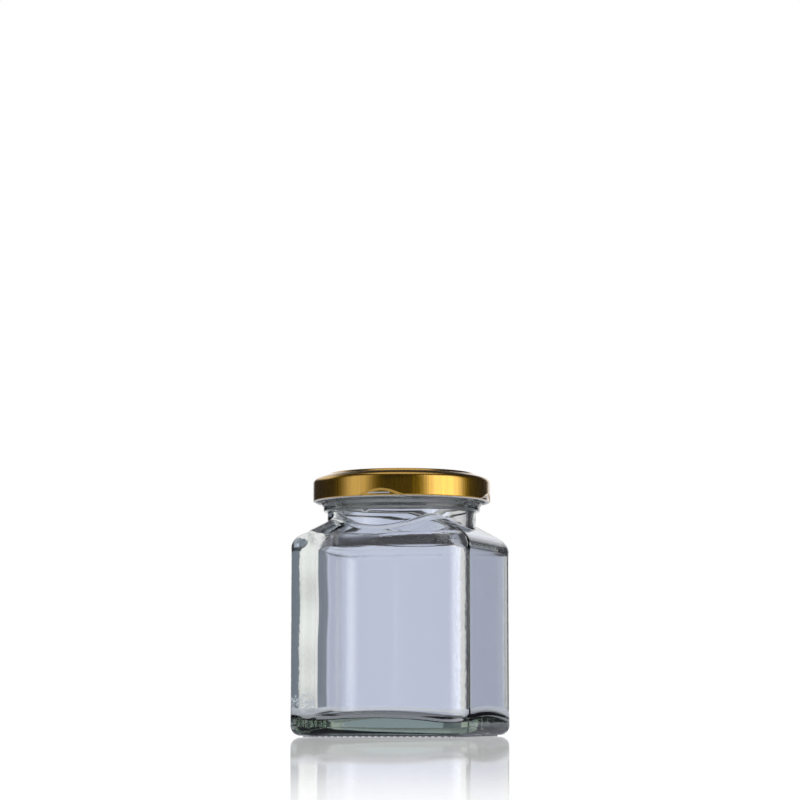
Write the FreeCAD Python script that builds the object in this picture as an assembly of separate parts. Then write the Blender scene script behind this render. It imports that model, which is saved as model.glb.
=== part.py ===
import FreeCAD, Part
import math
import os

# Square clear-glass jar with a four-lug twist-off lid of lacquered tinplate, screwed down.
# Millimetres, +Z up. The origin is the centre of the base, on the plane the jar stands on.
# The flat faces of the glass look along X and Y.

# ---- Overall
GLASS_HEIGHT = 95.4  # to the sealing rim
BODY_WIDTH = 68.0  # across two opposite flat faces
FINISH_RADIUS = 29.95  # the plain wall of the mouth that carries the thread

# ---- Glass body
CORNER_RADIUS = 10.0  # upright corners, outside
WALL = 2.4
HEEL_RADIUS = 3.8  # where the walls turn under
HEEL_WALL_RADIUS = 3.5  # where the walls meet the floor, inside

# ---- Shoulder: four flat facets with soft ridges that lean in towards the neck
SHOULDER_SLOPE = 32.0  # degrees from level
SHOULDER_RADIUS = 5.5  # of the edge between a facet and its wall
SHOULDER_WALL_RADIUS = 6.5  # of the same edge inside, so the glass is thick there
FACET_REACH = 0.65  # how far the facets run towards the axis, inside the neck

# ---- Base
FLOOR_CROWN = 8.8  # height of the inside floor on the axis
FLOOR_RISE = 2.6  # how far the floor's gentle dome rises from the middle of a wall to the axis
BEARING_WIDTH = 3.7  # of the level ring the jar stands on, at its narrowest
PUSH_UP_DEPTH = 3.0  # of the hollow inside that ring

# ---- Neck and finish
NECK_INSET = 2.3  # from the wall of the finish in to the neck
NECK_WALL = 2.85
NECK_SHOWN = 3.2  # from the bead down to where the ridges of the shoulder meet the neck
CREASE_RADIUS = 0.8  # where the neck rises from the shoulder
BEAD_INSET = 0.85  # from the wall of the finish in to the bead
BEAD_HEIGHT = 1.6
BEAD_ROUND = 0.45
BEAD_GAP = 0.8  # from the foot of the lid down to where the bead starts to narrow
FINISH_FLARE = 1.0  # height in which the bead widens to the wall of the finish
RIM_ROUND = 0.75

# ---- Thread: one short lead for each lug
LUGS = 4
THREAD_DEPTH = 1.15
LEAD_TURN = 58.0  # degrees that a lead runs
LEAD_DROP = 2.6  # how far it comes down over that turn
LEAD_HEIGHT = 1.5
LEAD_BELOW_RIM = 7.1  # from the rim to the underside of the lead at its low end, where the lug grips
LEAD_ROOT = 0.5  # how deep the lead is set in the wall

# ---- Lid
LID_SHEET = 0.4
LID_CLEARANCE = 0.3  # between the crest of the thread and the curl
PANEL_INSET = 2.75  # from the wall of the finish in to the raised middle of the top
PANEL_RISE = 1.0
PANEL_STEP = 0.9  # width of the slope that leads up to it
SEAL_INSET = 0.35  # from the wall of the finish in to the end of the flat that seals on the rim
LID_SHOULDER_FALL = 1.35  # how far the outer ring has dropped where it would meet the skirt
LID_SHOULDER_RADIUS = 2.0
LID_BEND = 0.45  # small bends of the sheet
CURL_DIAMETER = 1.6
LUG_ANGLE = 3.0  # degrees, the first lug's place, turned from -Y towards +X
LUG_WIDTH = 16.0  # degrees of the skirt
LUG_THICKNESS = 1.0
LUG_RAISED = 0.9  # from the foot of the curl up to the lug
LUG_CLEARANCE = 0.3  # between a lug's nose and the wall of the finish, and below its lead

# ---- Worked out
HALF = BODY_WIDTH / 2
SLOPE = math.radians(SHOULDER_SLOPE)
THREAD_RADIUS = FINISH_RADIUS + THREAD_DEPTH
BEAD_RADIUS = FINISH_RADIUS - BEAD_INSET
NECK_RADIUS = FINISH_RADIUS - NECK_INSET
BORE_RADIUS = NECK_RADIUS - NECK_WALL
PUSH_UP_REACH = HALF - HEEL_RADIUS - BEARING_WIDTH
LEAD_UNDERSIDE = GLASS_HEIGHT - LEAD_BELOW_RIM
LUG_TOP = LEAD_UNDERSIDE - LUG_CLEARANCE
CURL_FOOT = LUG_TOP - LUG_THICKNESS - LUG_RAISED
BEAD_TOP = CURL_FOOT - BEAD_GAP - FINISH_FLARE
BEAD_FOOT = BEAD_TOP - BEAD_HEIGHT
RIDGE_REACH = (HALF - CORNER_RADIUS) * math.sqrt(2) + CORNER_RADIUS
RIDGE_RISE = HALF * math.tan(SLOPE) * (1 - NECK_RADIUS / RIDGE_REACH)
SHOULDER_Z = BEAD_FOOT - NECK_SHOWN - RIDGE_RISE  # where a facet and a wall would meet in a sharp edge
SEAL_TOP = GLASS_HEIGHT + LID_SHEET
LID_RADIUS = THREAD_RADIUS + LID_CLEARANCE + CURL_DIAMETER
PANEL_RADIUS = FINISH_RADIUS - PANEL_INSET
AXIS = FreeCAD.Vector(0, 0, 1)
ORIGIN = FreeCAD.Vector(0, 0, 0)
TINY = 1e-6


def ring_point(radius, z):
    """A point of a turned profile, drawn in the XZ plane."""
    return FreeCAD.Vector(radius, 0, z)


def turned(edges, degrees=360.0):
    """The solid that a closed profile sweeps round the Z axis."""
    face = Part.Face(Part.Wire(edges))
    return Part.Solid(face.revolve(ORIGIN, AXIS, degrees))


def about_axis(shape, degrees):
    """A copy of the shape, turned about the Z axis."""
    copy = shape.copy()
    copy.rotate(ORIGIN, AXIS, degrees)
    return copy


def rounded_line(points, radii):
    """Edges along the points, with each inner corner rounded to its radius."""
    edges = []
    start = points[0]
    for before, corner, after, radius in zip(points, points[1:], points[2:], radii):
        into = (corner - before).normalize()
        out = (after - corner).normalize()
        turn = into.getAngle(out)
        if radius > 0 and turn > TINY:
            cut = radius * math.tan(turn / 2)
            first = corner - into * cut
            last = corner + out * cut
            bisector = (out - into).normalize()
            middle = corner + bisector * (radius / math.cos(turn / 2) - radius)
            edges.append(Part.LineSegment(start, first).toShape())
            edges.append(Part.Arc(first, middle, last).toShape())
            start = last
        else:
            edges.append(Part.LineSegment(start, corner).toShape())
            start = corner
    edges.append(Part.LineSegment(start, points[-1]).toShape())
    return edges


def inset_line(points, distance):
    """The same line moved sideways by the distance, to the right of its direction, in the XZ plane."""
    moved = []
    sides = [FreeCAD.Vector(b.z - a.z, 0, a.x - b.x).normalize() for a, b in zip(points, points[1:])]
    for n, point in enumerate(points):
        one = sides[max(n - 1, 0)]
        two = sides[min(n, len(sides) - 1)]
        both = one + two
        moved.append(point + both * (2 * distance / both.dot(both)))
    return moved


def rounded_square(half, radius, z):
    """A level square outline with rounded corners."""
    core = half - radius
    bend = core + radius * math.sqrt(0.5)
    edges = []
    for quarter in range(4):
        turn = FreeCAD.Rotation(AXIS, 90 * quarter)
        low = turn.multVec(FreeCAD.Vector(half, -core, z))
        high = turn.multVec(FreeCAD.Vector(half, core, z))
        middle = turn.multVec(FreeCAD.Vector(bend, bend, z))
        end = turn.multVec(FreeCAD.Vector(core, half, z))
        edges.append(Part.LineSegment(low, high).toShape())
        edges.append(Part.Arc(high, middle, end).toShape())
    return Part.Wire(edges)


def level_edges(solid, z):
    """The solid's edges that lie flat at one height."""
    return [e for e in solid.Edges if abs(e.BoundBox.ZMin - z) < TINY and abs(e.BoundBox.ZMax - z) < TINY]


def block_with_shoulder(half, radius, foot, shoulder, edge_radius):
    """A rounded square block with the four leaning facets on top."""
    outline = rounded_square(half, radius, foot)
    block = Part.Face(outline).extrude(AXIS * (shoulder - foot))
    small = 1 - FACET_REACH
    rise = half * FACET_REACH * math.tan(SLOPE)
    wide = rounded_square(half, radius, shoulder)
    narrow = rounded_square(half * small, radius * small, shoulder + rise)
    facets = Part.makeLoft([wide, narrow], True, True)
    whole = block.fuse(facets)
    return whole.makeFillet(edge_radius, level_edges(whole, shoulder))


def finish_profile():
    """The neck, the bead and the plain threaded wall, turned as one solid up to the rim."""
    inside = SHOULDER_Z - SHOULDER_RADIUS
    points = [
        ring_point(0, inside),
        ring_point(NECK_RADIUS, inside),
        ring_point(NECK_RADIUS, BEAD_FOOT),
        ring_point(BEAD_RADIUS, BEAD_FOOT),
        ring_point(BEAD_RADIUS, BEAD_TOP),
        ring_point(FINISH_RADIUS, BEAD_TOP + FINISH_FLARE),
        ring_point(FINISH_RADIUS, GLASS_HEIGHT),
        ring_point(0, GLASS_HEIGHT),
    ]
    radii = [0, BEAD_ROUND, BEAD_ROUND, BEAD_ROUND, BEAD_ROUND, RIM_ROUND]
    edges = rounded_line(points, radii)
    edges.append(Part.LineSegment(points[-1], points[0]).toShape())
    return turned(edges)


def cap_radius(reach, rise):
    """The radius of the ball whose cap reaches that far out and rises that high."""
    return (reach**2 + rise**2) / (2 * rise)


def dome(radius, top):
    """A large ball with its crown at one height, its poles and its seam turned away from the crown."""
    ball = Part.makeSphere(radius)
    ball.rotate(ORIGIN, FreeCAD.Vector(0, 1, 0), 90)
    ball.translate(AXIS * (top - radius))
    return ball


def thread_lead():
    """One lead of the thread, its low end where the lug grips, at azimuth zero."""
    turn = LEAD_TURN / 360.0
    helix = Part.makeHelix(LEAD_DROP / turn, LEAD_DROP, FINISH_RADIUS)
    crest = LEAD_HEIGHT / 3
    inner = FINISH_RADIUS - LEAD_ROOT
    corners = [
        ring_point(inner, 0),
        ring_point(THREAD_RADIUS, crest),
        ring_point(THREAD_RADIUS, 2 * crest),
        ring_point(inner, LEAD_HEIGHT),
        ring_point(inner, 0),
    ]
    lead = Part.Wire(helix.Edges).makePipeShell([Part.makePolygon(corners)], True, True)
    lead.translate(AXIS * LEAD_UNDERSIDE)
    return lead


def cavity():
    """The room inside the glass, from the domed floor up through the bore."""
    half = HALF - WALL
    radius = max(CORNER_RADIUS - WALL, WALL)
    shoulder = SHOULDER_Z - WALL * (1 / math.cos(SLOPE) - math.tan(SLOPE))
    room = block_with_shoulder(half, radius, 0, shoulder, SHOULDER_WALL_RADIUS)
    room = room.cut(dome(cap_radius(half, FLOOR_RISE), FLOOR_CROWN))
    rim_of_floor = [e for e in room.Edges if e.BoundBox.ZMax < FLOOR_CROWN]
    room = room.makeFillet(HEEL_WALL_RADIUS, rim_of_floor)
    bore_foot = shoulder - SHOULDER_RADIUS
    bore = Part.makeCylinder(BORE_RADIUS, GLASS_HEIGHT - bore_foot, AXIS * bore_foot)
    return room.fuse(bore)


def jar_glass():
    """The whole glass: body, shoulder, neck, finish and base in one piece."""
    body = block_with_shoulder(HALF, CORNER_RADIUS, 0, SHOULDER_Z, SHOULDER_RADIUS)
    body = body.makeFillet(HEEL_RADIUS, level_edges(body, 0))
    solid = body.fuse(finish_profile())
    crease = [e for e in solid.Edges if is_crease(e)]
    solid = solid.makeFillet(CREASE_RADIUS, crease)
    lead = thread_lead()
    for n in range(LUGS):
        solid = solid.fuse(about_axis(lead, LUG_ANGLE - 90 - LUG_WIDTH / 2 + 360.0 / LUGS * n))
    hollow = dome(cap_radius(PUSH_UP_REACH, PUSH_UP_DEPTH), PUSH_UP_DEPTH)
    return solid.cut(cavity()).cut(hollow)


def is_crease(edge):
    """True for the wavy edge where the round neck meets the facets."""
    low = SHOULDER_Z < edge.BoundBox.ZMin and edge.BoundBox.ZMax < BEAD_FOOT
    on_neck = all(abs(math.hypot(v.X, v.Y) - NECK_RADIUS) < 0.001 for v in edge.Vertexes)
    level = edge.BoundBox.ZLength < TINY
    upright = edge.BoundBox.XLength < TINY and edge.BoundBox.YLength < TINY
    return low and on_neck and not level and not upright


def lid():
    """The pressed lid: raised panel, sealing ring, shoulder, skirt, curl and four lugs."""
    panel_top = SEAL_TOP + PANEL_RISE
    curl = CURL_DIAMETER / 2
    skin = [
        ring_point(LID_RADIUS, CURL_FOOT + curl),
        ring_point(LID_RADIUS, SEAL_TOP - LID_SHOULDER_FALL),
        ring_point(FINISH_RADIUS - SEAL_INSET, SEAL_TOP),
        ring_point(PANEL_RADIUS + PANEL_STEP, SEAL_TOP),
        ring_point(PANEL_RADIUS, panel_top),
        ring_point(0, panel_top),
    ]
    bends = [LID_SHOULDER_RADIUS, LID_BEND, LID_BEND, LID_BEND + LID_SHEET]
    inner_bends = [LID_SHOULDER_RADIUS - LID_SHEET, LID_BEND, LID_BEND + LID_SHEET, LID_BEND]
    under = inset_line(skin, -LID_SHEET)
    outer_edges = rounded_line(skin, bends)
    inner_edges = rounded_line(under, inner_bends)
    foot = Part.LineSegment(under[0], skin[0]).toShape()
    middle = Part.LineSegment(under[-1], skin[-1]).toShape()
    shell = turned([foot] + outer_edges + [middle] + inner_edges)
    ring = Part.makeTorus(LID_RADIUS - curl, curl, AXIS * (CURL_FOOT + curl))
    whole = shell.fuse(ring)
    lug = lid_lug()
    for n in range(LUGS):
        whole = whole.fuse(about_axis(lug, LUG_ANGLE - 90 + 360.0 / LUGS * n))
    return whole


def lid_lug():
    """One lug, pressed inwards from the curl to hook under a thread lead, centred at azimuth zero."""
    nose = FINISH_RADIUS + LUG_CLEARANCE
    root = LID_RADIUS - LID_SHEET / 2
    points = [
        ring_point(root, LUG_TOP),
        ring_point(nose, LUG_TOP),
        ring_point(nose, LUG_TOP - LUG_THICKNESS),
        ring_point(root, LUG_TOP - LUG_THICKNESS),
    ]
    edges = rounded_line(points, [LUG_THICKNESS / 3, LUG_THICKNESS / 3])
    edges.append(Part.LineSegment(points[-1], points[0]).toShape())
    return about_axis(turned(edges, LUG_WIDTH), -LUG_WIDTH / 2)


def save(name, shape):
    """Writes one node, after dropping seams that split a surface for no reason."""
    solid = shape.removeSplitter()
    if solid.ShapeType != "Solid" and len(solid.Solids) == 1:
        solid = solid.Solids[0]
    print(name, solid.ShapeType, solid.isValid(), round(solid.Volume, 1), solid.BoundBox)
    solid.exportStep(os.path.join("parts", name + ".step"))


os.makedirs("parts", exist_ok=True)
save("jar_glass", jar_glass())
save("lid", lid())
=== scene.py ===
"""Square glass jar with a gold twist-off lid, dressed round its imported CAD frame.

The clear glass is one closed shell that follows the same rules as the solid: a rounded square body, four
leaning facets, a round neck and a threaded mouth. The lid is a pressed shell with its curl and four lugs. The
floor and the light are a plain white studio.
"""
import logging
import math
from collections.abc import Callable
from dataclasses import dataclass, field
from enum import Enum

import bpy
import numpy as np
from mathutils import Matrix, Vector

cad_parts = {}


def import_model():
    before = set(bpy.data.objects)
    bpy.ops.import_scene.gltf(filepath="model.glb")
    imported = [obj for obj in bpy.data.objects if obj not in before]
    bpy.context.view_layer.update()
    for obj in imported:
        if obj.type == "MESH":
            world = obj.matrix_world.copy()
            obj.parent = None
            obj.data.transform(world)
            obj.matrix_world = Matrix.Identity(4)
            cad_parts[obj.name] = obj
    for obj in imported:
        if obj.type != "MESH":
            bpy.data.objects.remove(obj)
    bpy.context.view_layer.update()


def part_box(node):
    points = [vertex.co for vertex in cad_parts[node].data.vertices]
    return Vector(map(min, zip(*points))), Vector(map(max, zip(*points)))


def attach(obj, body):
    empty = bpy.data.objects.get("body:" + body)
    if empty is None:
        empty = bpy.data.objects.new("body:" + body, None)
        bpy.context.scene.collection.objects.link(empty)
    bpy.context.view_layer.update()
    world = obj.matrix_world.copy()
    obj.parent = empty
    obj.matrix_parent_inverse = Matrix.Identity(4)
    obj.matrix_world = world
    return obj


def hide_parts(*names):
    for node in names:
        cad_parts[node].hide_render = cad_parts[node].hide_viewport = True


LOG = logging.getLogger("jar")
MM = 0.001
BACKDROP = (0.545, 0.590, 0.750)

Socket = bpy.types.NodeSocket
Material = bpy.types.Material
Mesh = bpy.types.Mesh
Inputs = dict[object, object] | None
Triple = tuple[float, float, float]
Profile = list[tuple[float, float]]


class Finish(Enum):
    """The finishes that a piece can be given, by the name of their material."""

    GLASS = "clear_glass"
    GOLD = "gold_lacquer"
    TINPLATE = "bare_tinplate"
    ENAMEL = "white_enamel"
    FLOOR = "white_gloss_floor"


# ---------------------------------------------------------------- node helpers


class TreeWriter:
    """Adds nodes to a node tree."""

    def __init__(self, tree: bpy.types.NodeTree) -> None:
        """Takes the tree to write in."""
        self.tree = tree

    def node(self, kind: str, inputs: Inputs = None, **settings: object) -> bpy.types.Node:
        """Adds a node.

        Args:
            kind: The node's type name.
            inputs: Values or sockets for its inputs, by name or number.
            settings: Attributes of the node.

        Returns:
            The new node.
        """
        made = self.tree.nodes.new(kind)
        for key, value in settings.items():
            setattr(made, key, value)
        for key, value in (inputs or {}).items():
            if isinstance(value, Socket):
                self.tree.links.new(value, made.inputs[key])
            else:
                made.inputs[key].default_value = value
        return made

    def result(self, kind: str, inputs: Inputs = None, **settings: object) -> Socket:
        """Adds a node, as node() does, and returns its first output."""
        return self.node(kind, inputs, **settings).outputs[0]

    def math(self, operation: str, *values: object) -> Socket:
        """Adds a math node.

        Args:
            operation: The math node's operation.
            values: Its inputs in order, as numbers or sockets.

        Returns:
            The result's socket.
        """
        return self.result("ShaderNodeMath", dict(enumerate(values)), operation=operation)

    def step(self, value: Socket, low: float, high: float) -> Socket:
        """Adds a smooth step.

        Args:
            value: What is measured.
            low: Where the step starts, at 0.
            high: Where it ends, at 1.

        Returns:
            The result's socket.
        """
        limits = {"Value": value, "From Min": low, "From Max": high}
        return self.result("ShaderNodeMapRange", limits, interpolation_type="SMOOTHSTEP")


class Shader(TreeWriter):
    """A node material of one finish."""

    def __init__(self, finish: Finish) -> None:
        """Makes the empty material.

        Args:
            finish: The finish, which names it.
        """
        self.material = bpy.data.materials.new(finish.value)
        self.material.use_nodes = True
        super().__init__(self.material.node_tree)
        self.tree.nodes.clear()

    def place(self) -> Socket:
        """The surface's place in the object."""
        return self.node("ShaderNodeTexCoord").outputs["Object"]

    def noise(self, place: Socket, scale: float, detail: float) -> Socket:
        """Adds a noise pattern of a scale and detail, from 0 to 1."""
        return self.result("ShaderNodeTexNoise", {"Vector": place, "Scale": scale, "Detail": detail})

    def relief(self, height: Socket, depth: float) -> Socket:
        """Turns a pattern into a relief of a depth, for a Normal input."""
        return self.result("ShaderNodeBump", {"Height": height, "Strength": 1.0, "Distance": depth})

    def between(self, level: Socket, low: float, high: float) -> Socket:
        """Maps a level from 0 to 1 to a number between two others."""
        return self.result("ShaderNodeMapRange", {"Value": level, "To Min": low, "To Max": high})

    def blend(self, level: Socket, low: Triple, high: Triple) -> Socket:
        """Blends two colours.

        Args:
            level: From 0 to 1.
            low: The colour at 0.
            high: The colour at 1.

        Returns:
            The colour's socket.
        """
        mixed = self.node("ShaderNodeMix", {0: level}, data_type="RGBA")
        mixed.inputs["A"].default_value = (*low, 1)
        mixed.inputs["B"].default_value = (*high, 1)
        return mixed.outputs["Result"]

    def output(self, surface: Socket, **more: Socket) -> None:
        """Connects the surface, and a Volume if there is one, to the material's output."""
        self.node("ShaderNodeOutputMaterial", {"Surface": surface, **more})


class Pattern(TreeWriter):
    """A Geometry Nodes tree for what repeats, with named sizes."""

    def __init__(self, name: str, sizes: dict[str, float]) -> None:
        """Makes the empty tree.

        Args:
            name: The tree's name.
            sizes: The tree's inputs and their values; a whole number makes a whole-number input.
        """
        super().__init__(bpy.data.node_groups.new(name, "GeometryNodeTree"))
        self.sizes = sizes
        self.identifiers: dict[str, str] = {}
        for label, value in sizes.items():
            kind = "NodeSocketInt" if isinstance(value, int) else "NodeSocketFloat"
            made = self.tree.interface.new_socket(label, in_out="INPUT", socket_type=kind)
            self.identifiers[label] = made.identifier
        self.tree.interface.new_socket("Geometry", in_out="OUTPUT", socket_type="NodeSocketGeometry")
        self.size = self.node("NodeGroupInput").outputs

    def rounded_box(self, width: Socket, height: Socket, radius: Socket, steps: int) -> Socket:
        """Draws a flat box with round corners.

        Args:
            width: Its size along X.
            height: Its size along Y.
            radius: Radius of its corners.
            steps: Points of each corner's arc.

        Returns:
            The closed curve.
        """
        box = self.result("GeometryNodeCurvePrimitiveQuadrilateral", {"Width": width, "Height": height})
        corners = {"Curve": box, "Radius": radius, "Count": steps}
        return self.result("GeometryNodeFilletCurve", corners, mode="POLY")

    def arc(self, radius: Socket, sweep: Socket, points: int) -> Socket:
        """Draws an arc, half of it to each side of X.

        Args:
            radius: Its radius.
            sweep: Its whole angle.
            points: How many points it has.

        Returns:
            The open curve.
        """
        start = self.math("MULTIPLY", sweep, -0.5)
        sizes = {"Resolution": points, "Radius": radius, "Start Angle": start, "Sweep Angle": sweep}
        return self.result("GeometryNodeCurveArc", sizes, mode="RADIUS")

    def copies(self, points: Socket, piece: Socket, turn: Socket) -> Socket:
        """Sets a copy of a piece, turned, on every point."""
        placed = {"Points": points, "Instance": piece, "Rotation": turn}
        return self.result("GeometryNodeInstanceOnPoints", placed)

    def bar(self, path: Socket, section: Socket) -> Socket:
        """Sweeps a closed section along a path and caps its ends."""
        swept = {"Curve": path, "Profile Curve": section, "Fill Caps": True}
        return self.result("GeometryNodeCurveToMesh", swept)

    def mesh(self, geometry: Socket, material: Material) -> Mesh:
        """Ends the tree and evaluates it once.

        Args:
            geometry: What the tree has made, as instances.
            material: The finish.

        Returns:
            The result as a plain mesh.
        """
        real = self.result("GeometryNodeRealizeInstances", {0: geometry})
        dressed = self.result("GeometryNodeSetMaterial", {"Geometry": real, "Material": material})
        self.node("NodeGroupOutput", {0: dressed})
        holder = bpy.data.objects.new(self.tree.name, bpy.data.meshes.new(self.tree.name))
        bpy.context.scene.collection.objects.link(holder)
        modifier = holder.modifiers.new("pattern", "NODES")
        modifier.node_group = self.tree
        for label, value in self.sizes.items():
            modifier[self.identifiers[label]] = value
        graph = bpy.context.evaluated_depsgraph_get()
        mesh = bpy.data.meshes.new_from_object(holder.evaluated_get(graph))
        bpy.data.objects.remove(holder)
        mesh.shade_smooth()
        return mesh


@dataclass(frozen=True)
class ClearGlass:
    """Flint glass, faintly green where it is thick, with a fine grain on its rounded corners."""

    tint: Triple = (0.60, 0.67, 0.60)
    tint_density: float = 40.0
    ior: float = 1.5
    grain: float = 600.0
    grain_depth: float = 0.00004
    flat_reach: float = 0.0245
    flat_fade: float = 0.002
    shoulder: tuple[float, float, float, float] = (0.0655, 0.0685, 0.0708, 0.0730)
    shoulder_share: float = 0.4
    foot: tuple[float, float] = (0.002, 0.010)

    def mask(self, shader: Shader, place: Socket) -> Socket:
        """Where the grain shows: on the upright corners, the shoulder's edge and the foot.

        Args:
            shader: The material.
            place: The surface's place in the object.

        Returns:
            How much of it shows, from 0 to 1.
        """
        split = shader.node("ShaderNodeSeparateXYZ", {0: place})
        across = shader.math("ABSOLUTE", split.outputs["X"])
        along = shader.math("ABSOLUTE", split.outputs["Y"])
        height = split.outputs["Z"]
        least = shader.math("MINIMUM", across, along)
        corner = shader.step(least, self.flat_reach, self.flat_reach + self.flat_fade)
        rise = shader.step(height, self.shoulder[0], self.shoulder[1])
        fall = shader.step(height, self.shoulder[2], self.shoulder[3])
        edge = shader.math("MULTIPLY", shader.math("SUBTRACT", rise, fall), self.shoulder_share)
        foot = shader.math("SUBTRACT", 1.0, shader.step(height, *self.foot))
        return shader.math("MAXIMUM", shader.math("MAXIMUM", corner, edge), foot)

    def material(self) -> Material:
        """Builds the glass.

        Returns:
            The material.
        """
        shader = Shader(Finish.GLASS)
        place = shader.place()
        grain = shader.math("MULTIPLY", shader.noise(place, self.grain, 2.0), self.mask(shader, place))
        glass = shader.result(
            "ShaderNodeBsdfPrincipled",
            {
                "Base Color": (1, 1, 1, 1),
                "Roughness": 0.0,
                "IOR": self.ior,
                "Transmission Weight": 1.0,
                "Normal": shader.relief(grain, self.grain_depth),
            },
        )
        body = {"Color": (*self.tint, 1), "Density": self.tint_density}
        shader.output(glass, Volume=shader.result("ShaderNodeVolumeAbsorption", body))
        return shader.material


@dataclass(frozen=True)
class GoldLacquer:
    """Gold lacquer over tinplate with a fine upright grain."""

    light: Triple = (0.66, 0.365, 0.012)
    dark: Triple = (0.53, 0.285, 0.008)
    roughness: tuple[float, float] = (0.20, 0.30)
    grain: float = 1400.0
    grain_rise: float = 0.03
    grain_depth: float = 0.00003
    cloud: float = 115.0
    cloud_share: float = 0.35
    spread: float = 0.25
    coat_roughness: float = 0.12
    coat_ior: float = 1.7

    def material(self) -> Material:
        """Builds the lacquer.

        Returns:
            The material.
        """
        shader = Shader(Finish.GOLD)
        place = shader.place()
        drawn = shader.result("ShaderNodeMapping", {"Vector": place, "Scale": (1, 1, self.grain_rise)})
        streaks = shader.noise(drawn, self.grain, 3.0)
        cloud = shader.noise(drawn, self.cloud, 2.0)
        both = shader.math("MULTIPLY_ADD", cloud, self.cloud_share, streaks)
        middle = 0.5 + 0.5 * self.cloud_share
        limits = {"Value": both, "From Min": middle - self.spread, "From Max": middle + self.spread}
        level = shader.result("ShaderNodeMapRange", limits)
        metal = shader.result(
            "ShaderNodeBsdfPrincipled",
            {
                "Base Color": shader.blend(level, self.dark, self.light),
                "Metallic": 1.0,
                "Roughness": shader.between(level, self.roughness[1], self.roughness[0]),
                "Normal": shader.relief(streaks, self.grain_depth),
                "Coat Weight": 1.0,
                "Coat Roughness": self.coat_roughness,
                "Coat IOR": self.coat_ior,
            },
        )
        shader.output(metal)
        return shader.material


@dataclass(frozen=True)
class WhiteEnamel:
    """White enamel inside the lid, slightly mottled."""

    light: Triple = (0.88, 0.88, 0.87)
    dark: Triple = (0.76, 0.76, 0.75)
    mottle: float = 220.0
    roughness: float = 0.28

    def material(self) -> Material:
        """Builds the enamel.

        Returns:
            The material.
        """
        shader = Shader(Finish.ENAMEL)
        mottle = shader.noise(shader.place(), self.mottle, 3.0)
        colour = shader.blend(mottle, self.dark, self.light)
        finish = {"Base Color": colour, "Roughness": self.roughness}
        shader.output(shader.result("ShaderNodeBsdfPrincipled", finish))
        return shader.material


@dataclass(frozen=True)
class Tinplate:
    """Bare tinplate on the rolled curl and the lugs, with a fine grain."""

    light: Triple = (0.84, 0.83, 0.80)
    dark: Triple = (0.66, 0.64, 0.60)
    grain: float = 900.0
    roughness: tuple[float, float] = (0.25, 0.42)
    metallic: float = 0.5

    def material(self) -> Material:
        """Builds the tinplate.

        Returns:
            The material.
        """
        shader = Shader(Finish.TINPLATE)
        grain = shader.noise(shader.place(), self.grain, 3.0)
        metal = {
            "Base Color": shader.blend(grain, self.dark, self.light),
            "Metallic": self.metallic,
            "Roughness": shader.between(grain, *self.roughness),
        }
        shader.output(shader.result("ShaderNodeBsdfPrincipled", metal))
        return shader.material


# ---------------------------------------------------------------- mesh helpers


def rounded_profile(points: Profile, radii: list[float], steps: int = 5) -> Profile:
    """Rounds the inner corners of a line in the (radius, height) plane.

    Args:
        points: The line's corners.
        radii: One radius for each inner corner, or 0 to keep it sharp.
        steps: Pieces of each arc.

    Returns:
        The line's points, always as many for the same radii.
    """
    line = [points[0]]
    for before, corner, after, radius in zip(points, points[1:], points[2:], radii):
        if radius <= 0:
            line.append(corner)
            continue
        a, b, c = (Vector(p) for p in (before, corner, after))
        into, out = (b - a).normalized(), (c - b).normalized()
        turn = into.angle(out)
        cut = radius * math.tan(turn / 2)
        start = b - into * cut
        side = Vector((-into.y, into.x))
        if side.dot(out) < 0:
            side = -side
        for n in range(steps + 1):
            angle = turn * n / steps
            p = start + into * (radius * math.sin(angle)) + side * (radius * (1 - math.cos(angle)))
            line.append((p.x, p.y))
    line.append(points[-1])
    return line


def grid_mesh(
    name: str, rings: np.ndarray, start_pole: Triple, end_pole: Triple, finishes: list[int] | None = None
) -> Mesh:
    """Joins rings of points into a closed skin.

    Args:
        name: The mesh's name.
        rings: Points in millimetres, as rings by columns by 3.
        start_pole: The point that closes the first ring.
        end_pole: The point that closes the last ring.
        finishes: The material's number for the faces that start at each ring, or None.

    Returns:
        The mesh in metres, smooth.
    """
    count, columns, _ = rings.shape
    points = np.vstack([rings.reshape(-1, 3), start_pole, end_pole])
    i = np.arange(count - 1)[:, None] * columns
    j = np.arange(columns)[None, :]
    k = (j + 1) % columns
    quads = np.stack([i + j, i + k, i + columns + k, i + columns + j], axis=-1).reshape(-1, 4)
    first, last = len(points) - 2, (count - 1) * columns
    faces = quads.tolist()
    faces += [[first, (c + 1) % columns, c] for c in range(columns)]
    faces += [[first + 1, last + c, last + (c + 1) % columns] for c in range(columns)]
    mesh = bpy.data.meshes.new(name)
    mesh.from_pydata((points * MM).tolist(), [], faces)
    if finishes is not None:
        numbers = np.repeat(finishes[:-1], columns).tolist()
        numbers += [finishes[0]] * columns + [finishes[-1]] * columns
        mesh.polygons.foreach_set("material_index", numbers)
    mesh.shade_smooth()
    return mesh


def add_object(name: str, mesh: Mesh, *materials: Material) -> bpy.types.Object:
    """Puts a mesh in the scene.

    Args:
        name: The object's name.
        mesh: Its mesh, in metres.
        materials: Its materials, by their number.

    Returns:
        The object.
    """
    made = bpy.data.objects.new(name, mesh)
    bpy.context.scene.collection.objects.link(made)
    for material in materials:
        mesh.materials.append(material)
    return made


def signed_volume(mesh: Mesh) -> float:
    """Measures the inside of a closed mesh.

    Args:
        mesh: The mesh, in metres.

    Returns:
        Its volume in cubic metres, negative if its faces point inwards.
    """
    mesh.calc_loop_triangles()
    total = 0.0
    for triangle in mesh.loop_triangles:
        a, b, c = (mesh.vertices[v].co for v in triangle.vertices)
        total += a.dot(b.cross(c)) / 6
    return total


# ---------------------------------------------------------------- glass


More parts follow.
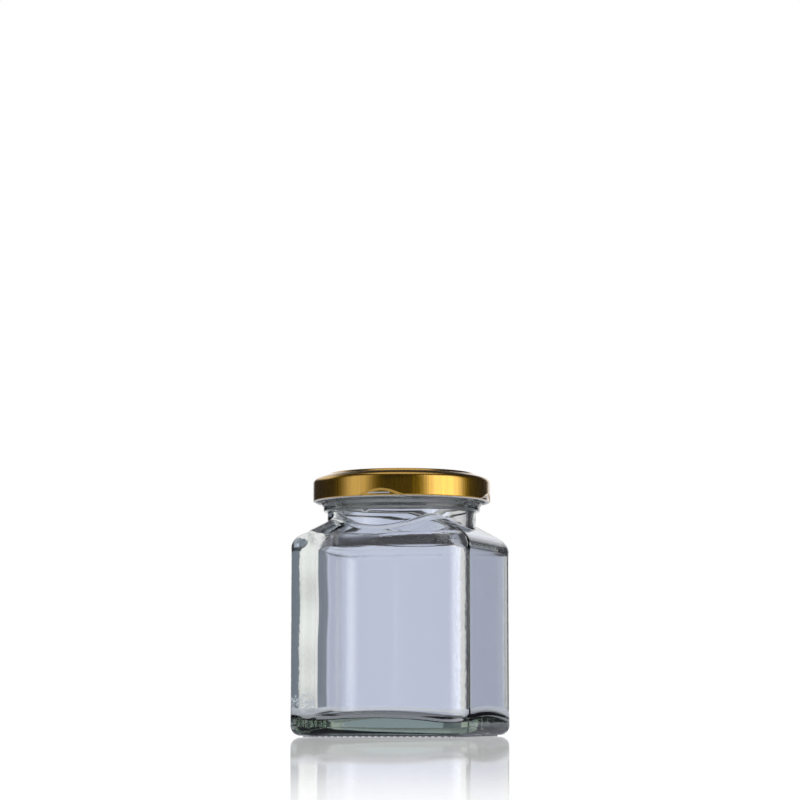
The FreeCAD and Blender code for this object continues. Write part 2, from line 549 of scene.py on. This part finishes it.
@dataclass
class GlassBody:
    """The jar's glass, as one closed shell. Sizes are in millimetres."""

    width: float
    height: float
    corner: float = 10.0
    wall: float = 2.4
    heel: float = 3.8
    floor_fillet: float = 3.5
    slope: float = math.radians(32.0)
    shoulder_round: float = 5.5
    shoulder_z: float = 71.6
    crease: float = 0.6
    inner_crease: float = 4.0
    floor_crown: float = 8.8
    floor_rise: float = 2.6
    push_up_reach: float = 26.5
    push_up_depth: float = 3.0
    stand: float = 0.3
    knurl_inset: float = 1.3
    finish_radius: float = 29.95
    neck_radius: float = 27.65
    bore_radius: float = 24.8
    bead_radius: float = 29.1
    bead_below_rim: float = 12.7
    bead_height: float = 1.6
    bead_round: float = 0.5
    bead_lead_in: float = 0.8
    bead_lead_out: float = 1.0
    rim_round: float = 0.9
    rim_round_inside: float = 0.6
    rim_land: float = 0.2
    rim_depth_inside: float = 2.0
    bore_below_rim: float = 2.4
    leads: int = 4
    lead_start: float = -5.0
    lead_turn: float = 58.0
    lead_foot: float = 88.3
    lead_rise: float = 2.6
    lead_height: float = 1.5
    lead_root: float = 0.5
    lead_depth: float = 1.15
    lead_end: float = 5.0
    seam_turn: float = -10.7
    seam_depth: float = 0.14
    flat_steps: int = 48
    corner_steps: int = 20
    round_steps: int = 10
    push_up_rows: int = 15
    bearing_rows: tuple[float, ...] = (0.08, 0.35, 0.65, 0.92)
    floor_rows: int = 20
    fillet_steps: int = 8
    wall_rows: int = 32
    facet_rows: int = 8
    crease_steps: int = 6
    neck_rows: int = 4
    bore_rows: int = 8
    finish_rows: int = 30
    inner_corners: tuple[float, float, float, float] = (6.5, 9.8, 16.8, 8.4)
    inner_bend: float = 6.5
    wander: float = 0.35
    wander_ends: Triple = (11.0, 66.0, 8.0)
    wander_waves: tuple[Triple, ...] = ((1.0, 0.11, 2.6), (0.5, 0.26, 2.0))

    def outline(self, half: float, corners: np.ndarray | float) -> np.ndarray:
        """A rounded square, one point for each column, as columns by 2.

        Args:
            half: Half the width.
            corners: Radius of every corner, or of each one, anticlockwise from +X +Y.

        Returns:
            The points.
        """
        radii = np.broadcast_to(corners, 4)
        points = []
        for side, radius in enumerate(radii):
            last, here = half - radii[side - 1], half - radius
            turned = [(half, -last + (last + here) * n / self.flat_steps) for n in range(self.flat_steps)]
            for n in range(self.corner_steps):
                angle = math.pi / 2 * n / self.corner_steps
                turned.append((here + radius * math.cos(angle), here + radius * math.sin(angle)))
            c, s = [(1, 0), (0, 1), (-1, 0), (0, -1)][side]
            points += [(c * x - s * y, s * x + c * y) for x, y in turned]
        return np.array(points)

    def circle(self, radius: float) -> np.ndarray:
        """A circle with its points on the same spokes as the outline."""
        spokes = self.outline(self.width / 2, self.corner)
        return spokes / np.linalg.norm(spokes, axis=1, keepdims=True) * radius

    def ring(self, plan: np.ndarray, z: float | np.ndarray) -> np.ndarray:
        """A ring of points at one height, or at one height for each column."""
        return np.column_stack([plan, np.broadcast_to(z, len(plan))])

    def bearing_side(self) -> float:
        """The side of the rounded square that the bearing crescents stand on."""
        return 2 * (self.width / 2 - self.heel - self.knurl_inset)

    def base_rings(self) -> list[np.ndarray]:
        """The hollow under the base, the bearing ring and the heel, from the middle outwards.

        Returns:
            The rings.
        """
        half = self.width / 2
        reach, depth = self.push_up_reach, self.push_up_depth
        ball = (reach**2 + depth**2) / (2 * depth)
        rings = []
        for n in range(1, self.push_up_rows + 1):
            r = reach * n / self.push_up_rows
            z = depth - ball + math.sqrt(ball**2 - r**2) + self.stand
            rings.append(self.ring(self.circle(r), z))
        foot = self.outline(half - self.heel, self.corner - self.heel)
        edge = self.circle(reach)
        for t in self.bearing_rows:
            rings.append(self.ring(edge * (1 - t) + foot * t, self.stand))
        for n in range(self.round_steps + 1):
            angle = math.pi / 2 * n / self.round_steps
            inset = self.heel * (1 - math.sin(angle))
            z = self.heel * (1 - math.cos(angle)) + self.stand * math.cos(angle)
            rings.append(self.ring(self.outline(half - inset, self.corner - inset), z))
        return rings

    def side_rings(
        self,
        half: float,
        corner: Callable[[float], np.ndarray | float],
        low: float | np.ndarray,
        shoulder: float,
        bend: float,
    ) -> list[np.ndarray]:
        """Wall and rounded shoulder edge, from the bottom up.

        Args:
            half: Half the width of the wall.
            corner: Gives the radius of its upright corners at a height.
            low: Height of the lowest ring.
            shoulder: Height where wall and facet would meet in a sharp edge.
            bend: Radius of that edge.

        Returns:
            The rings.
        """
        turn = math.pi / 2 - self.slope
        top = shoulder - bend * math.tan(turn / 2)
        rings = []
        for n in range(1, self.wall_rows + 1):
            t = n / self.wall_rows
            z = low * (1 - t) + top * t
            plan = self.outline(half, corner(float(np.mean(z))))
            rings.append(self.ring(plan, z))
        for n in range(1, self.round_steps + 1):
            angle = turn * n / self.round_steps
            scale = (half - bend + bend * math.cos(angle)) / half
            rings.append(self.ring(plan * scale, top + bend * math.sin(angle)))
        return rings

    def facet_rings(
        self,
        half: float,
        corner: np.ndarray | float,
        shoulder: float,
        bend: float,
        tube: float,
        crease: float,
    ) -> list[np.ndarray]:
        """The leaning facets and the soft crease where they meet a round tube, from the edge up.

        Args:
            half: Half the width of the wall below.
            corner: Radius of its upright corners.
            shoulder: Height where wall and facet would meet in a sharp edge.
            bend: Radius of that edge.
            tube: Radius of the tube.
            crease: Radius of the crease.

        Returns:
            The rings, up to the end of the crease.
        """
        plan = self.outline(half, corner)
        reach = np.linalg.norm(plan, axis=1)
        spoke = plan / reach[:, None]
        turn = math.pi / 2 - self.slope
        start = (half - bend + bend * math.cos(turn)) / half * reach
        rise = half * math.tan(self.slope)
        lean = np.arctan2(rise, reach)
        meet = shoulder + rise * (1 - tube / reach)
        cut = crease * np.tan((math.pi / 2 - lean) / 2)
        stop = tube + cut * np.cos(lean)
        rings = []
        for n in range(1, self.facet_rows + 1):
            r = start + (stop - start) * n / self.facet_rows
            rings.append(self.ring(spoke * r[:, None], shoulder + rise * (1 - r / reach)))
        for n in range(1, self.crease_steps + 1):
            angle = (math.pi / 2 - lean) * n / self.crease_steps
            along = crease * np.sin(angle)
            aside = crease * (1 - np.cos(angle))
            r = stop - along * np.cos(lean) + aside * np.sin(lean)
            z = meet - cut * np.sin(lean) + along * np.sin(lean) + aside * np.cos(lean)
            rings.append(self.ring(spoke * r[:, None], z))
        return rings

    def tube_rings(self, radius: float, low: np.ndarray, high: float, steps: int) -> list[np.ndarray]:
        """Rings of a round tube from a wavy edge to a level one."""
        plan = self.circle(radius)
        return [self.ring(plan, low * (1 - n / steps) + high * n / steps) for n in range(1, steps + 1)]

    def azimuth(self) -> np.ndarray:
        """Each column's azimuth in degrees, from -Y towards +X."""
        x, y = self.outline(self.width / 2, self.corner).T
        return np.degrees(np.arctan2(x, -y))

    def lead(self, z: float) -> np.ndarray:
        """How far the thread stands out of the finish.

        Args:
            z: The height.

        Returns:
            The distance in each column.
        """
        turned = (self.azimuth() - self.lead_start) % (360 / self.leads)
        above = z - self.lead_foot - self.lead_rise * turned / self.lead_turn
        slopes = np.minimum(above, self.lead_height - above) / self.lead_root
        ends = np.minimum(turned, self.lead_turn - turned) / self.lead_end
        return self.lead_depth * np.clip(slopes, 0, 1) * np.clip(ends, 0, 1)

    def seam(self) -> np.ndarray:
        """How far the two mould seams stand out in each column: one column wide, front and back."""
        apart = np.abs((self.azimuth() - self.seam_turn + 90) % 180 - 90)
        return np.where(apart < np.sort(apart)[2], self.seam_depth, 0.0)

    def finish_rings(self) -> list[np.ndarray]:
        """Bead, threaded wall and rim, from the neck up and over to the bore.

        Returns:
            The rings.
        """
        foot = self.height - self.bead_below_rim
        top = foot + self.bead_height
        below = rounded_profile(
            [
                (self.neck_radius, foot - self.bead_lead_in),
                (self.neck_radius, foot),
                (self.bead_radius, foot),
                (self.bead_radius, top),
                (self.finish_radius, top + self.bead_lead_out),
            ],
            [self.bead_round] * 3,
        )
        above = rounded_profile(
            [
                (self.finish_radius, self.height - self.rim_round - self.rim_land),
                (self.finish_radius, self.height),
                (self.bore_radius, self.height),
                (self.bore_radius, self.height - self.rim_depth_inside),
            ],
            [self.rim_round, self.rim_round_inside],
        )
        spokes, seam = self.circle(1.0), self.seam()
        rings = [self.ring(spokes * (r + seam)[:, None], z) for r, z in below[1:]]
        low, high = below[-1][1], above[0][1]
        for n in range(1, self.finish_rows):
            z = low + (high - low) * n / self.finish_rows
            stand = np.maximum(seam, self.lead(z))
            rings.append(self.ring(spokes * (self.finish_radius + stand)[:, None], z))
        return rings + [self.ring(self.circle(r), z) for r, z in above]

    def floor_rings(self, half: float, corner: np.ndarray) -> list[np.ndarray]:
        """The inside floor with its rounded edge, from the middle outwards.

        Args:
            half: Half the width inside.
            corner: Radii of the upright corners inside.

        Returns:
            The rings, the last one at the wall's foot.
        """
        ball = (half**2 + self.floor_rise**2) / (2 * self.floor_rise)
        fillet = self.floor_fillet
        rings = []
        inner = self.outline(half - fillet, corner - fillet)
        for n in range(1, self.floor_rows):
            plan = inner * n / self.floor_rows
            rings.append(self.ring(plan, self.dome(plan, ball)))
        for n in range(self.fillet_steps + 1):
            inset = fillet * (1 - math.sin(math.pi / 2 * n / self.fillet_steps))
            plan = self.outline(half - inset, corner - inset)
            lift = fillet - math.sqrt(fillet**2 - (fillet - inset) ** 2)
            rings.append(self.ring(plan, self.dome(plan, ball) + lift))
        return rings

    def dome(self, plan: np.ndarray, ball: float) -> np.ndarray:
        """Height of the domed floor at each point of a plan."""
        return self.floor_crown - ball + np.sqrt(ball**2 - (plan**2).sum(axis=1))

    def uneven(self, z: float) -> np.ndarray:
        """The radii of the upright corners inside: the thickest one wanders gently.

        Args:
            z: The height.

        Returns:
            The four radii at that height.
        """
        low, high, fade = self.wander_ends
        ends = max(0.0, min(1.0, (z - low) / fade)) * max(0.0, min(1.0, (high - z) / fade))
        wave = sum(size * math.sin(rate * z + start) for size, rate, start in self.wander_waves)
        return np.array(self.inner_corners) + np.array([0, 0, self.wander * wave * ends, 0])

    def mesh(self) -> Mesh:
        """The whole shell: up the outside, over the rim and down the inside.

        Returns:
            The mesh.
        """
        half = self.width / 2
        edge, bend = self.shoulder_z, self.shoulder_round
        neck_top = self.height - self.bead_below_rim - self.bead_lead_in
        outside = self.base_rings()
        outside += self.side_rings(half, lambda z: self.corner, self.heel, edge, bend)
        outside += self.facet_rings(half, self.corner, edge, bend, self.neck_radius, self.crease)
        outside += self.tube_rings(self.neck_radius, outside[-1][:, 2], neck_top, self.neck_rows)
        outside += self.finish_rings()

        half, corners = half - self.wall, np.array(self.inner_corners)
        edge -= self.wall * (1 / math.cos(self.slope) - math.tan(self.slope))
        bend = self.inner_bend
        bore_top = self.height - self.bore_below_rim
        inside = self.floor_rings(half, corners)
        inside += self.side_rings(half, self.uneven, inside[-1][:, 2], edge, bend)
        inside += self.facet_rings(half, corners, edge, bend, self.bore_radius, self.inner_crease)
        inside += self.tube_rings(self.bore_radius, inside[-1][:, 2], bore_top, self.bore_rows)
        poles = (0, 0, self.push_up_depth + self.stand), (0, 0, self.floor_crown)
        return grid_mesh("glass_body", np.array(outside + inside[::-1]), *poles)


@dataclass
class BearingKnurls:
    """The row of small crescents that the jar stands on. Sizes are in millimetres."""

    side: float
    corner: float = 7.2
    pitch: float = 2.4
    arc: float = 1.1
    sweep: float = 130.0
    wire: float = 0.30
    height: float = 0.36
    corner_steps: int = 12
    arc_points: int = 8
    wire_points: int = 8

    def mesh(self, material: Material) -> Mesh:
        """Sets crescents along a rounded square, half sunk in the level ring.

        Args:
            material: The glass.

        Returns:
            The mesh.
        """
        pattern = Pattern(
            "bearing_knurls",
            {
                "Side": self.side * MM,
                "Corner": self.corner * MM,
                "Pitch": self.pitch * MM,
                "Arc": self.arc * MM,
                "Sweep": math.radians(self.sweep),
                "Wire": self.wire * MM,
                "Flatness": self.height / self.wire / 2,
                "Height": self.height / 2 * MM,
            },
        )
        size = pattern.size
        path = pattern.rounded_box(size["Side"], size["Side"], size["Corner"], self.corner_steps)
        places = pattern.node(
            "GeometryNodeCurveToPoints", {"Curve": path, "Length": size["Pitch"]}, mode="LENGTH"
        ).outputs
        turned = pattern.result(
            "FunctionNodeAlignRotationToVector", {"Vector": places["Tangent"]}, axis="X", pivot_axis="Z"
        )
        wire = pattern.result(
            "GeometryNodeCurvePrimitiveCircle",
            {"Resolution": self.wire_points, "Radius": size["Wire"]},
            mode="RADIUS",
        )
        crescent = pattern.bar(pattern.arc(size["Arc"], size["Sweep"], self.arc_points), wire)
        squeeze = pattern.result("ShaderNodeCombineXYZ", {"X": 1.0, "Y": 1.0, "Z": size["Flatness"]})
        lift = pattern.result("ShaderNodeCombineXYZ", {"Z": size["Height"]})
        flat = pattern.result(
            "GeometryNodeTransform", {"Geometry": crescent, "Translation": lift, "Scale": squeeze}
        )
        return pattern.mesh(pattern.copies(places["Points"], flat, turned), material)


# ---------------------------------------------------------------- lid


@dataclass
class Lugs:
    """The four tongues that the curl is bent into. Sizes are in millimetres."""

    count: int = 4
    first: float = 3.0
    width: float = 16.0
    nose: float = 30.25
    root: float = 32.6
    top: float = 88.0
    thickness: float = 1.0
    edge: float = 0.4
    edge_steps: int = 5
    arc_points: int = 16

    def mesh(self, material: Material) -> Mesh:
        """Sweeps one tongue along its arc and sets the copies round the lid.

        Args:
            material: The tinplate.

        Returns:
            The mesh.
        """
        pattern = Pattern(
            "lid_lugs",
            {
                "Count": self.count,
                "First": math.radians(self.first - 90),
                "Step": math.tau / self.count,
                "Width": math.radians(self.width),
                "Middle": (self.nose + self.root) / 2 * MM,
                "Reach": (self.root - self.nose) * MM,
                "Thickness": self.thickness * MM,
                "Edge": self.edge * MM,
                "Height": (self.top - self.thickness / 2) * MM,
            },
        )
        size = pattern.size
        section = pattern.rounded_box(size["Reach"], size["Thickness"], size["Edge"], self.edge_steps)
        tongue = pattern.bar(pattern.arc(size["Middle"], size["Width"], self.arc_points), section)
        lift = pattern.result("ShaderNodeCombineXYZ", {"Z": size["Height"]})
        places = pattern.result(
            "GeometryNodeMeshLine", {"Count": size["Count"], "Start Location": lift, "Offset": (0, 0, 0)}
        )
        number = pattern.result("GeometryNodeInputIndex")
        angle = pattern.math("ADD", pattern.math("MULTIPLY", number, size["Step"]), size["First"])
        turn = pattern.result("ShaderNodeCombineXYZ", {"Z": angle})
        return pattern.mesh(pattern.copies(places, tongue, turn), material)


@dataclass
class Lid:
    """The pressed lid with its curl. Sizes are in millimetres.

    The mitres say how much of an inset also goes sideways or down at a slanting bend of the sheet.
    """

    radius: float
    foot: float
    top: float
    sheet: float = 0.4
    panel_rise: float = 1.0
    panel_radius: float = 27.2
    step_radius: float = 28.1
    seal_radius: float = 29.6
    shoulder_fall: float = 1.35
    shoulder_round: float = 2.0
    bend: float = 0.45
    panel_margin: float = 2.0
    skirt_lead: float = 2.6
    mitre_step: float = 0.6
    mitre_seal: float = 0.25
    mitre_skirt: float = 0.5
    mitre_bend: float = 0.9
    curl: float = 0.8
    curl_sweep: float = math.radians(300.0)
    lugs: int = 4
    dent_angle: float = 5.0
    dent_half_width: float = 23.0
    dent_depth: float = 0.45
    dent_rise: float = 2.8
    dent_edge: float = 0.5
    dent_inside: float = 1.0
    columns: int = 360
    panel_rows: int = 9
    skirt_rows: int = 22
    curl_steps: int = 20
    lining_rows: int = 12

    def skin(self, inset: float) -> Profile:
        """The sheet's line from the panel's edge out to the top of the skirt.

        Args:
            inset: How far the line is moved into the sheet.

        Returns:
            The line.
        """
        seal = self.top - self.panel_rise
        shoulder = seal - self.shoulder_fall
        points = [
            (self.panel_radius - self.panel_margin, self.top - inset),
            (self.panel_radius - inset * self.mitre_step, self.top - inset),
            (self.step_radius - inset * self.mitre_step, seal - inset),
            (self.seal_radius - inset * self.mitre_seal, seal - inset),
            (self.radius - inset, shoulder - inset * self.mitre_skirt),
            (self.radius - inset, shoulder - self.skirt_lead),
        ]
        outer = [self.bend + self.sheet, self.bend, self.bend, self.shoulder_round]
        inner = [
            self.bend,
            self.bend + self.sheet * self.mitre_bend,
            self.bend,
            self.shoulder_round - self.sheet,
        ]
        return rounded_profile(points, inner if inset else outer, steps=6)

    def profile(self) -> tuple[Profile, list[int]]:
        """The whole section, from the middle of the top to the middle of the underside.

        Returns:
            The line, and the number of each point's finish.
        """
        gold, tin, enamel = 0, 1, 2
        spread = [self.panel_radius * n / self.panel_rows for n in range(1, self.panel_rows)]
        curl_z = self.foot + self.curl
        line = [(r, self.top) for r in spread]
        line += self.skin(0)
        high = line[-1][1]
        rows = self.skirt_rows
        line += [(self.radius, high + (curl_z - high) * n / rows) for n in range(1, rows)]
        finishes = [gold] * len(line)
        for n in range(self.curl_steps + 1):
            angle = -self.curl_sweep * n / self.curl_steps
            r = self.radius - self.curl * (1 - math.cos(angle))
            line.append((r, curl_z + self.curl * math.sin(angle)))
            finishes.append(gold if n < 2 else tin)
        inner = self.skin(self.sheet)[::-1]
        low, high = line[-1][1], inner[0][1]
        rows = self.lining_rows
        line += [(self.radius - self.sheet, low + (high - low) * n / rows) for n in range(1, rows)]
        line += inner
        line += [(r, self.top - self.sheet) for r in reversed(spread)]
        finishes += [enamel] * (len(line) - len(finishes))
        return line, finishes

    def dent(self, azimuth: np.ndarray, z: float) -> np.ndarray:
        """How far the skirt is pressed in above each lug.

        Args:
            azimuth: Azimuths in degrees, from -Y towards +X.
            z: The height.

        Returns:
            The depth at each azimuth.
        """
        pitch = 360 / self.lugs
        apart = (azimuth - self.dent_angle + pitch / 2) % pitch - pitch / 2
        inside = np.clip(np.abs(apart) / self.dent_half_width, 0, 1)
        bow = np.cos(inside * math.pi / 2) ** 2
        arch = self.foot - self.dent_edge + (self.dent_rise + self.dent_edge) * bow
        ease = np.clip((arch - z) / self.dent_edge, 0, 1)
        return self.dent_depth * ease * ease * (3 - 2 * ease)

    def mesh(self) -> Mesh:
        """The sheet as one closed shell.

        Returns:
            The mesh.
        """
        line, finishes = self.profile()
        azimuth = 360 * np.arange(self.columns) / self.columns
        across, along = np.cos(np.radians(azimuth)), np.sin(np.radians(azimuth))
        from_front = azimuth + 90
        rings = []
        for radius, z in line:
            reach = radius - self.dent(from_front, z) * (radius > self.seal_radius + self.dent_inside)
            rings.append(np.column_stack([across * reach, along * reach, np.full(self.columns, z)]))
        poles = (0, 0, self.top), (0, 0, self.top - self.sheet)
        mesh = grid_mesh("lid_shell", np.array(rings), *poles, finishes)
        mesh.flip_normals()
        return mesh


# ---------------------------------------------------------------- studio


@dataclass(frozen=True)
class LightPanel:
    """A soft panel of light round the jar.

    Angles are in degrees. Azimuths turn to the right from the camera's side.
    """

    left: float
    right: float
    edge: float
    high: float
    fade: float
    strength: float
    colour: Triple = (1.0, 1.0, 1.0)
    low: float = -90.0


class Surround(Enum):
    """The two ways that the studio is seen: mirrored in a surface, or through the glass."""

    MIRRORED = "mirrored"
    THROUGH = "through"


class SkyNodes(TreeWriter):
    """Writes the world's nodes, which light the jar by direction."""

    def __init__(self, tree: bpy.types.NodeTree, turn: float) -> None:
        """Works out the azimuth from the camera's side, and the elevation, in degrees.

        Args:
            tree: The world's node tree.
            turn: The camera's own azimuth in degrees.
        """
        super().__init__(tree)
        place = self.node("ShaderNodeTexCoord").outputs["Generated"]
        turned = self.result("ShaderNodeMapping", {"Vector": place, "Rotation": (0, 0, -math.radians(turn))})
        split = self.node("ShaderNodeSeparateXYZ", {0: turned}).outputs
        away = self.math("MULTIPLY", split["Y"], -1.0)
        self.azimuth = self.math("DEGREES", self.math("ARCTAN2", split["X"], away))
        self.elevation = self.math("DEGREES", self.math("ARCSINE", split["Z"]))

    def band(self, angle: Socket, low: float, high: float, edge: float) -> Socket:
        """A soft-edged band of one angle.

        Args:
            angle: The angle in degrees.
            low: Where the band is full.
            high: Where it stops being full.
            edge: How wide its edges are.

        Returns:
            From 0 outside to 1 inside.
        """
        rise = self.step(angle, low - edge, low)
        return self.math("SUBTRACT", rise, self.step(angle, high, high + edge))

    def light(self, ground: Triple, panels: tuple[LightPanel, ...]) -> Socket:
        """Adds panels of light to an even glow.

        Args:
            ground: The even glow's colour.
            panels: The panels.

        Returns:
            The light's shader socket.
        """
        total: object = ground
        for panel in panels:
            across = self.band(self.azimuth, panel.left, panel.right, panel.edge)
            upright = self.band(self.elevation, panel.low, panel.high, panel.fade)
            level = self.math("MULTIPLY", self.math("MULTIPLY", across, upright), panel.strength)
            parts = {0: panel.colour, 1: level, 2: total}
            total = self.result("ShaderNodeVectorMath", parts, operation="MULTIPLY_ADD")
        return self.result("ShaderNodeBackground", {"Color": total})


@dataclass
class Studio:
    """Floor, light and camera."""

    turn: float = 18.5
    distance: float = 0.970
    height: float = 0.009
    tilt: float = 6.806
    aside: float = 0.036
    lens: float = 117.5
    floor_reach: tuple[float, float] = (0.5, 0.95)
    floor_glow: Triple = (0.62, 0.65, 0.75)
    # the floor's glow inside the painted contact shadow, and the extra it gets outside it
    floor_glow_shadowed_and_extra: tuple[float, float] = (0.36, 0.44)
    floor_white: float = 0.98
    floor_matt: Triple = (0.25, 0.25, 0.25)
    floor_gloss: float = 0.75
    floor_roughness: float = 0.03
    floor_ior: float = 1.5
    # from and to where the painted contact shadow fades out of the floor's glow, in metres from the jar's
    # axis
    painted_shadow_reach: tuple[float, float] = (0.030, 0.075)
    polish_middle: Triple = (0.09, -0.27, 0.0)
    polish: tuple[float, float] = (0.24, 0.56)
    ground: dict[Surround, Triple] = field(
        default_factory=lambda: {
            Surround.MIRRORED: (0.03, 0.03, 0.035),
            Surround.THROUGH: (0.06, 0.06, 0.07),
        }
    )
    panels: dict[Surround, tuple[LightPanel, ...]] = field(
        default_factory=lambda: {
            Surround.MIRRORED: (
                LightPanel(154, 200, 6, 18, 12, 1.0),
                LightPanel(-200, -166, 8, 18, 12, 1.0),
                LightPanel(-64, -56, 26, 30, 20, 1.0),
                LightPanel(46, 70, 24, 30, 20, 2.2),
                LightPanel(-158, -115, 12, 34, 14, 0.9, low=24),
                LightPanel(-200, 200, 8, 90, 10, 0.8, low=70),
            ),
            Surround.THROUGH: (
                LightPanel(174, 200, 2, 9, 5, 1.0, BACKDROP),
                LightPanel(160, 170, 6, 11, 7, 0.75),
                LightPanel(-200, -174, 3, 9, 5, 1.0, BACKDROP),
                LightPanel(-170, -151, 4, 9, 8, 0.2, (0.84, 1.0, 1.25)),
                LightPanel(-146, -60, 4, 20, 20, 0.95, low=6),
                LightPanel(52, 72, 28, 30, 20, 2.6),
            ),
        }
    )

    def camera(self) -> None:
        """Sets the camera at the jar's own viewing angle."""
        data = bpy.data.cameras.new("camera")
        data.lens = self.lens
        data.sensor_width = 36
        data.clip_start = 0.01
        data.clip_end = 50
        made = bpy.data.objects.new("camera", data)
        bpy.context.scene.collection.objects.link(made)
        a = math.radians(self.turn)
        made.location = (self.distance * math.sin(a), -self.distance * math.cos(a), self.height)
        made.rotation_euler = (math.radians(90 + self.tilt), 0, a + math.radians(self.aside))
        bpy.context.scene.camera = made

    def floor_material(self) -> Material:
        """White to the camera, a pale glow to everything else with a painted contact shadow round the jar,
        and a polish near the jar.

        Returns:
            The material.
        """
        shader = Shader(Finish.FLOOR)
        place = shader.place()
        camera = shader.node("ShaderNodeLightPath").outputs["Is Camera Ray"]
        unseen = shader.math("SUBTRACT", 1.0, camera)
        away = shader.node("ShaderNodeVectorMath", {0: place}, operation="LENGTH").outputs["Value"]
        shadowed_glow, unshadowed_extra_glow = self.floor_glow_shadowed_and_extra
        # painted contact shadow: the glow that the jar sees, and sees through its glass, is dimmed round its
        # foot
        clear = shader.math("MULTIPLY_ADD", shader.step(away, *self.painted_shadow_reach), unshadowed_extra_glow, shadowed_glow)
        flat = shader.result("ShaderNodeBsdfDiffuse", {"Color": (*self.floor_matt, 1)})
        seen = {"Color": (1, 1, 1, 1), "Strength": shader.math("MULTIPLY", camera, self.floor_white)}
        glow = {"Color": (*self.floor_glow, 1), "Strength": shader.math("MULTIPLY", unseen, clear)}
        for light in (seen, glow):
            emitted = shader.result("ShaderNodeEmission", light)
            flat = shader.result("ShaderNodeAddShader", {0: flat, 1: emitted})

        ends = {0: place, 1: self.polish_middle}
        shine = shader.node("ShaderNodeVectorMath", ends, operation="DISTANCE").outputs["Value"]
        near = shader.math("SUBTRACT", 1.0, shader.step(shine, *self.polish))
        sheen = shader.result("ShaderNodeFresnel", {"IOR": self.floor_ior})
        grazing = shader.math("MULTIPLY", shader.math("POWER", sheen, 2.0), near)
        share = shader.math("MULTIPLY", grazing, self.floor_gloss)
        mirror = {"Color": (1, 1, 1, 1), "Roughness": self.floor_roughness}
        gloss = shader.result("ShaderNodeBsdfGlossy", mirror)
        shader.output(shader.result("ShaderNodeMixShader", {0: share, 1: flat, 2: gloss}))
        return shader.material

    def floor(self) -> None:
        """Lays the wide white gloss floor."""
        mesh = bpy.data.meshes.new("floor")
        back, front = self.floor_reach
        corners = [(-back, -front, 0), (front, -front, 0), (front, back, 0), (-back, back, 0)]
        mesh.from_pydata(corners, [], [(0, 1, 2, 3)])
        add_object("floor", mesh, self.floor_material())

    def world(self) -> None:
        """White to the camera, and panels of soft light to everything else."""
        world = bpy.data.worlds.new("studio")
        bpy.context.scene.world = world
        world.use_nodes = True
        world.node_tree.nodes.clear()
        sky = SkyNodes(world.node_tree, self.turn)
        path = sky.node("ShaderNodeLightPath").outputs
        mirrored, through = (sky.light(self.ground[kind], self.panels[kind]) for kind in Surround)
        both = sky.result("ShaderNodeMixShader", {0: path["Is Transmission Ray"], 1: mirrored, 2: through})
        white = sky.result("ShaderNodeBackground", {"Color": (1, 1, 1, 1)})
        seen = sky.result("ShaderNodeMixShader", {0: path["Is Camera Ray"], 1: both, 2: white})
        sky.node("ShaderNodeOutputWorld", {0: seen})


# ---------------------------------------------------------------- the jar


def settle(piece: bpy.types.Object, node: str) -> None:
    """Rides a finished piece on the jar, hides the CAD node that it replaces and reports it.

    Args:
        piece: The piece.
        node: The CAD node that it replaces.
    """
    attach(piece, "root")
    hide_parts(node)
    LOG.info("%s: %d faces, %.2f ml", piece.name, len(piece.data.polygons), signed_volume(piece.data) * 1e6)


def main() -> None:
    """Builds the jar and its studio."""
    logging.basicConfig(level=logging.INFO, format="%(name)s: %(message)s")
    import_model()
    bpy.context.scene.view_settings.view_transform = "Standard"
    studio = Studio()
    studio.camera()
    studio.world()
    studio.floor()

    glass, tin = ClearGlass().material(), Tinplate().material()
    low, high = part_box("jar_glass")
    body = GlassBody(width=(high.x - low.x) / MM, height=(high.z - low.z) / MM)
    knurls = BearingKnurls(side=body.bearing_side())
    settle(add_object("glass_body", body.mesh(), glass), "jar_glass")
    settle(add_object("bearing_knurls", knurls.mesh(glass)), "jar_glass")
    low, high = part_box("lid")
    lid = Lid(radius=high.x / MM, foot=low.z / MM, top=high.z / MM)
    shell = add_object("lid_shell", lid.mesh(), GoldLacquer().material(), tin, WhiteEnamel().material())
    settle(shell, "lid")
    settle(add_object("lid_lugs", Lugs().mesh(tin)), "lid")


if __name__ == "__main__":
    main()
